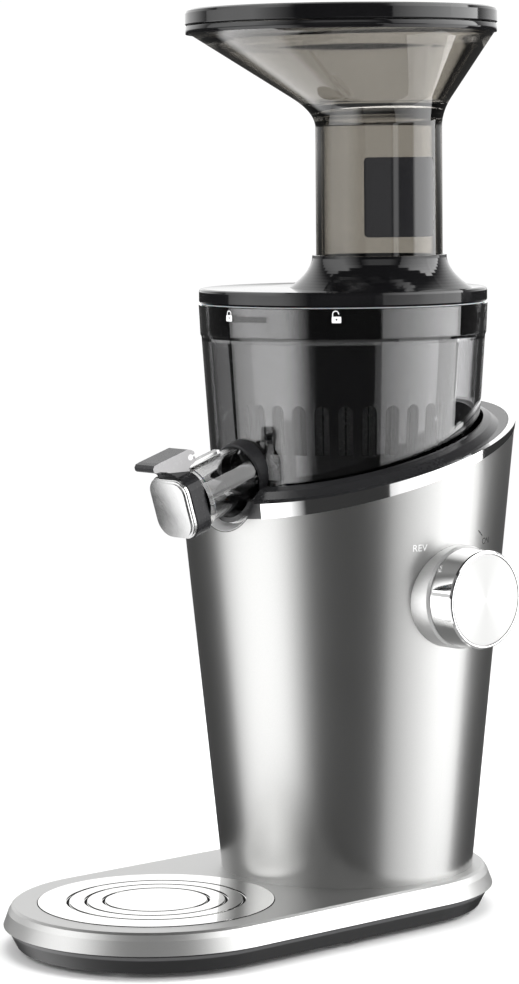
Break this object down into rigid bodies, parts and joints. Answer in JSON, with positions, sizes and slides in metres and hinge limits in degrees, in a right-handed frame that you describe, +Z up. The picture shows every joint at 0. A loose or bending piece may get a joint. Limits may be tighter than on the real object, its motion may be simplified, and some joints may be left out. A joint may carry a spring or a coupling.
{
  "type": "cold press juicer",
  "caption": "Vertical slow juicer: tapered body on a long base, clear bowl with capped spout, offset feed tube with funnel and cover, side knob and geared drive.",
  "frame": {"origin": "on the vertical drive axis, at the level of the table; the tray's flat underside lies 2.5 mm above it", "axes": "+Z up along the drive axis, -Y to the front where the juice spout points, +X to the side with the knob"},
  "size_m": [0.2088, 0.2953, 0.465],
  "materials": {
    "silver_paint": "satin silver",
    "brushed_plate": "brushed, bright",
    "chrome_trim": "polished",
    "gloss_black": "high gloss",
    "black_plastic": "fine grain",
    "rubber": "matte",
    "steel": "ground",
    "cast_alloy": "as cast",
    "motor_iron": "laminated",
    "copper_wire": "varnished winding",
    "gear_brass": "machined",
    "gear_plastic": "natural nylon",
    "switch_plastic": "moulded",
    "board_green": "solder mask",
    "smoky_clear": "clear, smoky, cool",
    "warm_smoky_clear": "clear, smoky, warm",
    "drum_plastic": "satin",
    "screen_plastic": "satin",
    "cap_plastic": "gloss",
    "silicone": "soft matte"
  },
  "bodies": {
    "stand": {"base_tray": "black_plastic", "base_feet": "rubber", "base_screws": "steel", "base_plate": "silver_paint", "cup_rest": "brushed_plate", "body_shell": "silver_paint", "rim_trim": "chrome_trim", "deck": "gloss_black", "knob_boss": "silver_paint", "rotary_switch": "switch_plastic", "cord_gland": "rubber", "frame_posts": "steel", "lower_bracket": "cast_alloy", "upper_bracket": "cast_alloy", "gear_plate": "cast_alloy", "stator": "motor_iron", "windings": "copper_wire", "motor_bearings": "steel", "gearbox_case": "cast_alloy", "gearbox_lid": "cast_alloy", "idler_axle": "steel", "drive_bearings": "steel", "control_board": "board_green"},
    "rotor": {"rotor_core": "motor_iron", "motor_shaft": "steel", "motor_pinion": "gear_brass", "cooling_fan": "black_plastic"},
    "idler": {"idler_gear": "gear_plastic", "idler_pinion": "gear_brass"},
    "drive": {"output_gear": "gear_plastic", "drive_shaft": "steel"},
    "knob": {"knob_shaft": "steel", "knob_ring": "chrome_trim", "knob_face": "brushed_plate"},
    "bowl": {"juice_bowl": "smoky_clear", "spout_gasket": "rubber", "shaft_seal": "silicone", "strainer_drum": "drum_plastic", "strainer_screen": "screen_plastic", "cap_pin": "steel"},
    "screw": {"auger": "drum_plastic"},
    "spout_cap": {"cap_body": "cap_plastic", "cap_plate": "chrome_trim", "cap_seal": "silicone"},
    "hopper": {"bowl_lid": "gloss_black", "lid_seal": "silicone", "feed_hopper": "warm_smoky_clear"},
    "cover": {"top_cover": "gloss_black"}
  },
  "joints": [
    {"name": "rotor_spin", "type": "hinge", "parent": "stand", "child": "rotor", "pos_m": [0, 0, 0.1], "axis": [0, 0, 1], "continuous": true},
    {"name": "idler_spin", "type": "hinge", "parent": "stand", "child": "idler", "pos_m": [0, 0.0375, 0.165], "axis": [0, 0, 1], "continuous": true},
    {"name": "drive_spin", "type": "hinge", "parent": "stand", "child": "drive", "pos_m": [0, 0, 0.2], "axis": [0, 0, 1], "continuous": true},
    {"name": "knob_turn", "type": "hinge", "parent": "stand", "child": "knob", "pos_m": [0.09, 0, 0.1704], "axis": [1, 0, 0], "range_deg": [-45, 45]},
    {"name": "bowl_lift", "type": "slide", "parent": "stand", "child": "bowl", "axis": [0, 0, 1], "range_m": [0, 0.07]},
    {"name": "screw_spin", "type": "hinge", "parent": "bowl", "child": "screw", "pos_m": [0, 0, 0.27], "axis": [0, 0, 1], "continuous": true},
    {"name": "cap_swing", "type": "hinge", "parent": "bowl", "child": "spout_cap", "pos_m": [0, -0.11032, 0.24304], "axis": [-1, 0, 0], "range_deg": [0, 100]},
    {"name": "hopper_turn", "type": "hinge", "parent": "bowl", "child": "hopper", "pos_m": [0, 0, 0.318], "axis": [0, 0, 1], "range_deg": [0, 48]},
    {"name": "cover_lift", "type": "slide", "parent": "hopper", "child": "cover", "axis": [0, 0, 1], "range_m": [0, 0.05]}
  ],
  "couplings": [
    {"joint": "idler_spin", "follows": "rotor_spin", "ratio": -0.25},
    {"joint": "drive_spin", "follows": "rotor_spin", "ratio": 0.0625},
    {"joint": "screw_spin", "follows": "rotor_spin", "ratio": 0.0625}
  ]
}
